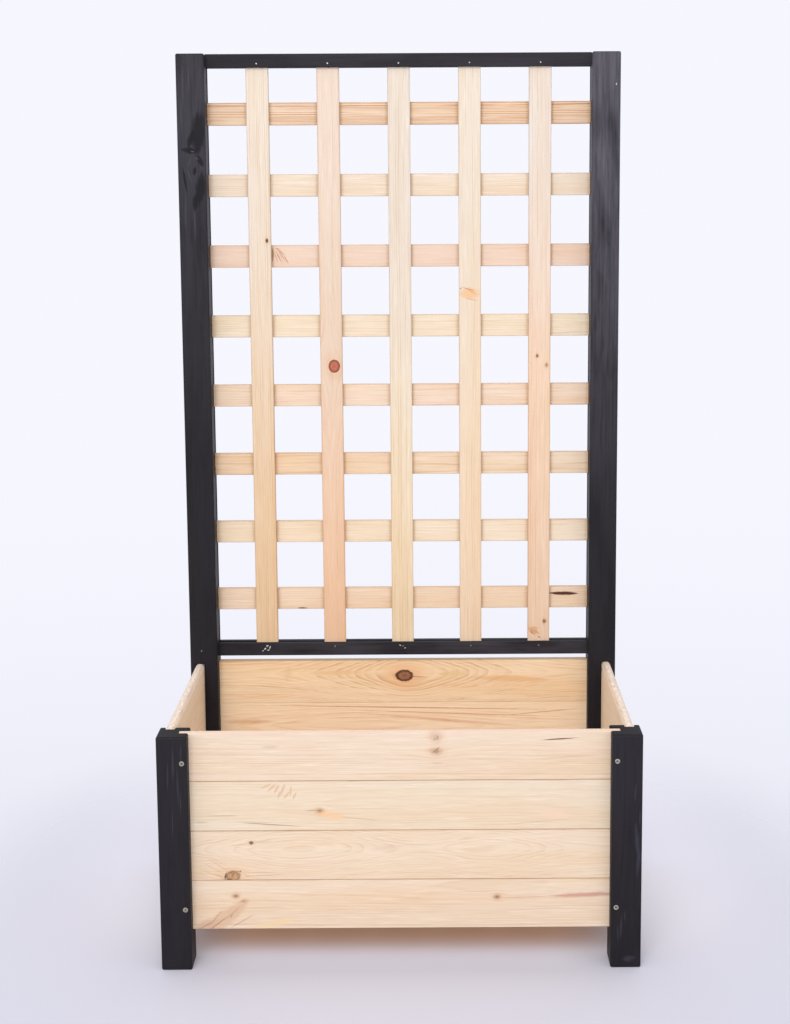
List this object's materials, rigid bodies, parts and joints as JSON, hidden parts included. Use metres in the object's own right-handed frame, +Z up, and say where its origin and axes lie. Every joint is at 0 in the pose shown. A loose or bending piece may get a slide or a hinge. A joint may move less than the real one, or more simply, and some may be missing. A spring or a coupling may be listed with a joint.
{
  "type": "planter with trellis",
  "caption": "Free-standing wooden planter box on black posts, with a tall slatted trellis rising from its back.",
  "frame": {"origin": "on the floor under the middle of the box, centred between the outer faces of the posts", "axes": "+X to the right seen from the front, +Y to the back where the trellis stands, +Z up"},
  "size_m": [0.785, 0.44, 1.505],
  "materials": {
    "black_stained_pine": "black stain over planed pine, grain still showing, semi-matt",
    "pine_boards": "planed natural pine boards with knots, bare and matt",
    "pine_slats": "planed natural pine slats, bare and matt",
    "pine_floor": "sawn natural pine, bare and matt",
    "zinc_screws": "zinc-plated steel, slightly yellow",
    "steel_brads": "bright steel wire, dulled"
  },
  "bodies": {
    "root": {"back_board_1": "pine_boards", "back_board_2": "pine_boards", "back_board_3": "pine_boards", "back_board_4": "pine_boards", "back_cleat_screws": "zinc_screws", "back_floor_cleat": "pine_floor", "back_panel_screws": "zinc_screws", "bottom_rail_brads": "steel_brads", "crossing_brads": "steel_brads", "floor_board_1": "pine_floor", "floor_board_2": "pine_floor", "floor_board_3": "pine_floor", "floor_board_4": "pine_floor", "floor_board_5": "pine_floor", "floor_board_6": "pine_floor", "floor_board_7": "pine_floor", "floor_nails": "steel_brads", "front_board_1": "pine_boards", "front_board_2": "pine_boards", "front_board_3": "pine_boards", "front_board_4": "pine_boards", "front_cleat_screws": "zinc_screws", "front_floor_cleat": "pine_floor", "front_left_post": "black_stained_pine", "front_panel_screws": "zinc_screws", "front_right_post": "black_stained_pine", "left_board_1": "pine_boards", "left_board_2": "pine_boards", "left_board_3": "pine_boards", "left_board_4": "pine_boards", "left_panel_screws": "zinc_screws", "left_rail_screws": "zinc_screws", "rear_left_post": "black_stained_pine", "rear_right_post": "black_stained_pine", "right_board_1": "pine_boards", "right_board_2": "pine_boards", "right_board_3": "pine_boards", "right_board_4": "pine_boards", "right_panel_screws": "zinc_screws", "right_rail_screws": "zinc_screws", "top_rail_brads": "steel_brads", "trellis_bottom_rail": "black_stained_pine", "trellis_crossbar_1": "pine_slats", "trellis_crossbar_2": "pine_slats", "trellis_crossbar_3": "pine_slats", "trellis_crossbar_4": "pine_slats", "trellis_crossbar_5": "pine_slats", "trellis_crossbar_6": "pine_slats", "trellis_crossbar_7": "pine_slats", "trellis_crossbar_8": "pine_slats", "trellis_top_rail": "black_stained_pine", "trellis_upright_1": "pine_slats", "trellis_upright_2": "pine_slats", "trellis_upright_3": "pine_slats", "trellis_upright_4": "pine_slats", "trellis_upright_5": "pine_slats"}
  },
  "joints": []
}
